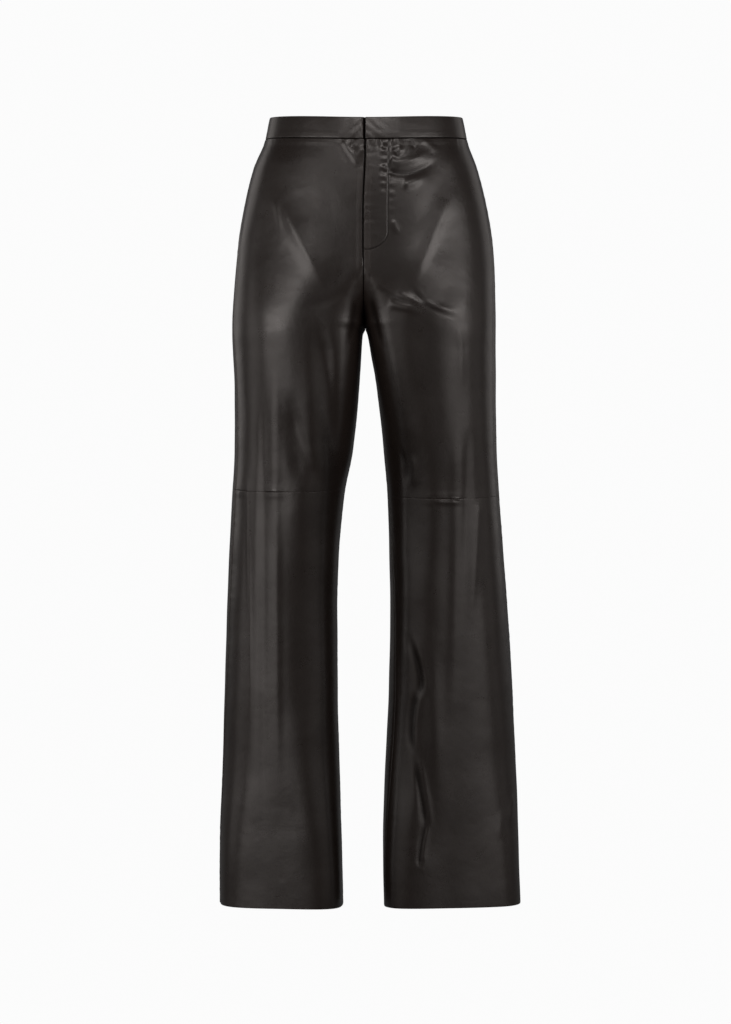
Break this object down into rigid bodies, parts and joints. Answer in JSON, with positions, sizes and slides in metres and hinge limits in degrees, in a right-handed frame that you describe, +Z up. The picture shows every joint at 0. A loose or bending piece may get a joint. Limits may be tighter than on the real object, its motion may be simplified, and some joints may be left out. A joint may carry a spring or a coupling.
{
  "type": "leather trousers",
  "caption": "High-waisted wide-leg leather trousers, filled out as worn, with a plain waistband, a lapped zip fly and seams across the knees.",
  "frame": {"origin": "middle of the waist, halfway up the front of the waistband, where the wearer holds the trousers up", "axes": "+Z up along the body, the front faces -Y, +X towards the wearer's left"},
  "size_m": [0.413, 0.249, 1.088],
  "materials": {
    "leather": "smooth brown-black nappa leather with a soft sheen and a very fine grain",
    "thread_and_tape": "black woven zip tape and black sewing thread",
    "metal": "dull nickel plate on the zip slider, the hook and the bar"
  },
  "bodies": {
    "root": {"front_upper_right": "leather", "front_lower_right": "leather", "back_upper_right": "leather", "back_lower_right": "leather", "front_upper_left": "leather", "front_lower_left": "leather", "back_upper_left": "leather", "back_lower_left": "leather", "waistband_front_right": "leather", "waistband_front_left": "leather", "waistband_back": "leather", "fly_zip": "thread_and_tape", "zip_slider": "metal", "waist_hook": "metal", "waist_bar": "metal"}
  },
  "joints": []
}
